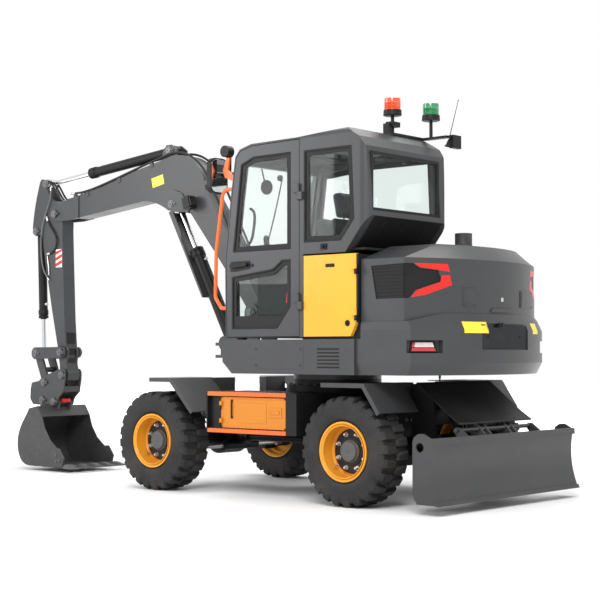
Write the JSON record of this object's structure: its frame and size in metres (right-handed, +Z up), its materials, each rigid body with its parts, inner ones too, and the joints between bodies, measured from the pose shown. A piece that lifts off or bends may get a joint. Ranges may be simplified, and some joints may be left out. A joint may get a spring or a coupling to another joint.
{
  "type": "wheeled excavator",
  "caption": "Compact wheeled excavator with a slewing cab, a swinging boom, an arm with a bucket, and a dozer blade behind.",
  "frame": {"origin": "on the ground, under the middle of the overall length and width", "axes": "+X towards the digging end, +Y to the cab side, +Z up"},
  "size_m": [5.73, 1.97, 3.187],
  "materials": {
    "chassis_paint": "satin",
    "grey_paint": "satin",
    "amber_paint": "gloss",
    "yellow_paint": "gloss",
    "orange_paint": "satin",
    "bare_steel": "machined",
    "chrome": "polished",
    "iron": "rough cast",
    "tyre": "matte",
    "rubber": "matte",
    "glass": "tinted",
    "fabric": "woven",
    "plastic": "grained"
  },
  "bodies": {
    "chassis": {"chassis_frame": "chassis_paint", "front_axle": "chassis_paint", "rear_axle": "chassis_paint", "driveline": "chassis_paint", "fenders": "chassis_paint", "step_box": "chassis_paint", "step_rails": "chassis_paint", "fuel_tank": "chassis_paint"},
    "knuckle_left": {"knuckle_left": "chassis_paint"},
    "knuckle_right": {"knuckle_right": "chassis_paint"},
    "steering_rod": {"steering_rod": "bare_steel"},
    "wheel_front_left": {"rim_front_left": "amber_paint", "tyre_front_left": "tyre"},
    "wheel_front_right": {"rim_front_right": "amber_paint", "tyre_front_right": "tyre"},
    "wheel_rear_left": {"rim_rear_left": "amber_paint", "tyre_rear_left": "tyre"},
    "wheel_rear_right": {"rim_rear_right": "amber_paint", "tyre_rear_right": "tyre"},
    "box_door": {"box_door": "amber_paint"},
    "blade_arms": {"blade_arms": "grey_paint"},
    "blade_cover": {"blade_cover": "chassis_paint"},
    "blade": {"blade": "grey_paint"},
    "blade_ram_barrel": {"blade_ram_barrel": "chassis_paint"},
    "blade_ram_rod": {"blade_ram_rod": "chrome"},
    "upper": {"upper_frame": "grey_paint", "counterweight": "grey_paint", "engine": "iron", "right_cover": "grey_paint", "side_bay": "chassis_paint", "cab_shell": "grey_paint", "cab_glass": "glass", "seat": "fabric", "controls": "plastic", "grab_rail": "orange_paint", "mirrors": "plastic", "roof_lamps": "plastic"},
    "engine_hood": {"engine_hood": "grey_paint"},
    "side_panel": {"side_panel": "yellow_paint"},
    "cab_door": {"cab_door": "grey_paint", "door_glass": "glass"},
    "swing_post": {"swing_post": "grey_paint"},
    "swing_ram_barrel": {"swing_ram_barrel": "chassis_paint"},
    "swing_ram_rod": {"swing_ram_rod": "chrome"},
    "boom": {"boom": "grey_paint", "boom_hoses": "rubber"},
    "boom_ram_barrel": {"boom_ram_barrel": "chassis_paint"},
    "boom_ram_rod": {"boom_ram_rod": "chrome", "boom_guard": "grey_paint"},
    "arm_ram_barrel": {"arm_ram_barrel": "chassis_paint"},
    "arm_ram_rod": {"arm_ram_rod": "chrome"},
    "arm": {"arm": "grey_paint", "arm_hoses": "rubber"},
    "bucket_ram_barrel": {"bucket_ram_barrel": "chassis_paint"},
    "bucket_ram_rod": {"bucket_ram_rod": "chrome"},
    "rocker": {"rocker": "grey_paint"},
    "bucket_link": {"bucket_link": "grey_paint"},
    "bucket": {"coupler": "grey_paint", "bucket": "grey_paint"}
  },
  "joints": [
    {"name": "wheel_front_left", "type": "hinge", "parent": "knuckle_left", "child": "wheel_front_left", "pos_m": [0.17, 0.785, 0.42], "axis": [0, 1, 0], "continuous": true},
    {"name": "wheel_front_right", "type": "hinge", "parent": "knuckle_right", "child": "wheel_front_right", "pos_m": [0.17, -0.785, 0.42], "axis": [0, 1, 0], "continuous": true},
    {"name": "wheel_rear_left", "type": "hinge", "parent": "chassis", "child": "wheel_rear_left", "pos_m": [-1.93, 0.785, 0.42], "axis": [0, 1, 0], "continuous": true},
    {"name": "wheel_rear_right", "type": "hinge", "parent": "chassis", "child": "wheel_rear_right", "pos_m": [-1.93, -0.785, 0.42], "axis": [0, 1, 0], "continuous": true},
    {"name": "steer_left", "type": "hinge", "parent": "chassis", "child": "knuckle_left", "pos_m": [0.17, 0.56, 0.42], "axis": [0, 0, 1], "range_deg": [-28, 28]},
    {"name": "steer_right", "type": "hinge", "parent": "chassis", "child": "knuckle_right", "pos_m": [0.17, -0.56, 0.42], "axis": [0, 0, 1], "range_deg": [-28, 28]},
    {"name": "steer_rod", "type": "slide", "parent": "chassis", "child": "steering_rod", "axis": [0, -1, 0], "range_m": [-0.0743, 0.0743]},
    {"name": "box_door", "type": "hinge", "parent": "chassis", "child": "box_door", "pos_m": [-0.645, 0.929, 0.685], "axis": [0, 0, -1], "range_deg": [0, 100]},
    {"name": "blade_lift", "type": "hinge", "parent": "chassis", "child": "blade_arms", "pos_m": [-2.275, 0, 0.47], "axis": [0, 1, 0], "range_deg": [-12, 40]},
    {"name": "blade_cover", "type": "hinge", "parent": "chassis", "child": "blade_cover", "pos_m": [-2.275, 0, 0.85], "axis": [0, 1, 0], "range_deg": [-12, 40]},
    {"name": "blade_level", "type": "hinge", "parent": "blade_arms", "child": "blade", "pos_m": [-2.615, 0, 0.24], "axis": [0, 1, 0], "range_deg": [-40, 12]},
    {"name": "blade_ram_swing", "type": "hinge", "parent": "chassis", "child": "blade_ram_barrel", "pos_m": [-2.243, 0, 0.77], "axis": [0, 1, 0], "range_deg": [-4.5, 14.75]},
    {"name": "blade_ram_slide", "type": "slide", "parent": "blade_ram_barrel", "child": "blade_ram_rod", "axis": [-0.4768, 0, -0.879], "range_m": [-0.1002, 0.0314]},
    {"name": "slew", "type": "hinge", "parent": "chassis", "child": "upper", "pos_m": [-1.115, 0, 0.946], "axis": [0, 0, 1], "continuous": true},
    {"name": "cab_door", "type": "hinge", "parent": "upper", "child": "cab_door", "pos_m": [-1.494, 0.937, 2], "axis": [0, 0, 1], "range_deg": [0, 95]},
    {"name": "side_panel", "type": "hinge", "parent": "upper", "child": "side_panel", "pos_m": [-2.063, 0.937, 1.62], "axis": [0, 0, 1], "range_deg": [0, 70]},
    {"name": "hood_lift", "type": "hinge", "parent": "upper", "child": "engine_hood", "pos_m": [-2.087, 0, 1.985], "axis": [0, 1, 0], "range_deg": [0, 45]},
    {"name": "boom_swing", "type": "hinge", "parent": "upper", "child": "swing_post", "pos_m": [-0.395, 0, 1.156], "axis": [0, 0, -1], "range_deg": [-55, 55]},
    {"name": "swing_ram_turn", "type": "hinge", "parent": "upper", "child": "swing_ram_barrel", "pos_m": [-1.175, -0.4, 1.156], "axis": [0, 0, 1], "range_deg": [-3.63, 3.63]},
    {"name": "swing_ram_slide", "type": "slide", "parent": "swing_ram_barrel", "child": "swing_ram_rod", "axis": [0.9608, 0.2772, 0], "range_m": [-0.1459, 0.1459]},
    {"name": "boom_lift", "type": "hinge", "parent": "swing_post", "child": "boom", "pos_m": [-0.235, 0, 1.52], "axis": [0, -1, 0], "range_deg": [-48, 20]},
    {"name": "boom_ram_swing", "type": "hinge", "parent": "swing_post", "child": "boom_ram_barrel", "pos_m": [0.095, 0, 1.25], "axis": [0, -1, 0], "range_deg": [-50.01, 20.95]},
    {"name": "boom_ram_slide", "type": "slide", "parent": "boom_ram_barrel", "child": "boom_ram_rod", "axis": [0.4805, 0, 0.877], "range_m": [-0.348, 0.1467]},
    {"name": "arm_curl", "type": "hinge", "parent": "boom", "child": "arm", "pos_m": [2.485, 0, 2.56], "axis": [0, 1, 0], "range_deg": [-60, 32]},
    {"name": "arm_ram_swing", "type": "hinge", "parent": "boom", "child": "arm_ram_barrel", "pos_m": [0.865, 0, 3.055], "axis": [0, 1, 0], "range_deg": [-1.65, 0.93]},
    {"name": "arm_ram_slide", "type": "slide", "parent": "arm_ram_barrel", "child": "arm_ram_rod", "axis": [0.9955, 0, -0.0949], "range_m": [-0.3743, 0.201]},
    {"name": "bucket_curl", "type": "hinge", "parent": "arm", "child": "bucket", "pos_m": [2.363, 0, 0.942], "axis": [0, 1, 0], "range_deg": [-45, 75]},
    {"name": "rocker_turn", "type": "hinge", "parent": "arm", "child": "rocker", "pos_m": [2.374, 0, 1.168], "axis": [0, 1, 0], "range_deg": [-32.87, 54.65]},
    {"name": "link_turn", "type": "hinge", "parent": "rocker", "child": "bucket_link", "pos_m": [2.767, 0, 1.16], "axis": [0, 1, 0], "range_deg": [-31.43, 18.94]},
    {"name": "bucket_ram_swing", "type": "hinge", "parent": "arm", "child": "bucket_ram_barrel", "pos_m": [2.82, 0, 2.405], "axis": [0, 1, 0], "range_deg": [-1.62, 2.63]},
    {"name": "bucket_ram_slide", "type": "slide", "parent": "bucket_ram_barrel", "child": "bucket_ram_rod", "axis": [-0.0425, 0, -0.9991], "range_m": [-0.2132, 0.3533]}
  ],
  "couplings": [
    {"joint": "steer_right", "follows": "steer_left", "ratio": 1},
    {"joint": "steer_rod", "follows": "steer_left", "m_per_rad": 0.15},
    {"joint": "blade_cover", "follows": "blade_lift", "ratio": 1},
    {"joint": "blade_level", "follows": "blade_lift", "ratio": -1},
    {"joint": "blade_ram_swing", "follows": "blade_lift", "ratio": 0.3663},
    {"joint": "blade_ram_slide", "follows": "blade_lift", "m_per_rad": -0.1406},
    {"joint": "swing_ram_turn", "follows": "boom_swing", "ratio": 0.0642},
    {"joint": "swing_ram_slide", "follows": "boom_swing", "m_per_rad": -0.1499},
    {"joint": "boom_ram_swing", "follows": "boom_lift", "ratio": 1.0377},
    {"joint": "boom_ram_slide", "follows": "boom_lift", "m_per_rad": 0.4118},
    {"joint": "arm_ram_swing", "follows": "arm_curl", "ratio": 0.0258},
    {"joint": "arm_ram_slide", "follows": "arm_curl", "m_per_rad": 0.3546},
    {"joint": "rocker_turn", "follows": "bucket_curl", "ratio": 0.726},
    {"joint": "link_turn", "follows": "bucket_curl", "ratio": -0.4164},
    {"joint": "bucket_ram_swing", "follows": "bucket_curl", "ratio": 0.0338},
    {"joint": "bucket_ram_slide", "follows": "bucket_curl", "m_per_rad": 0.2676}
  ]
}
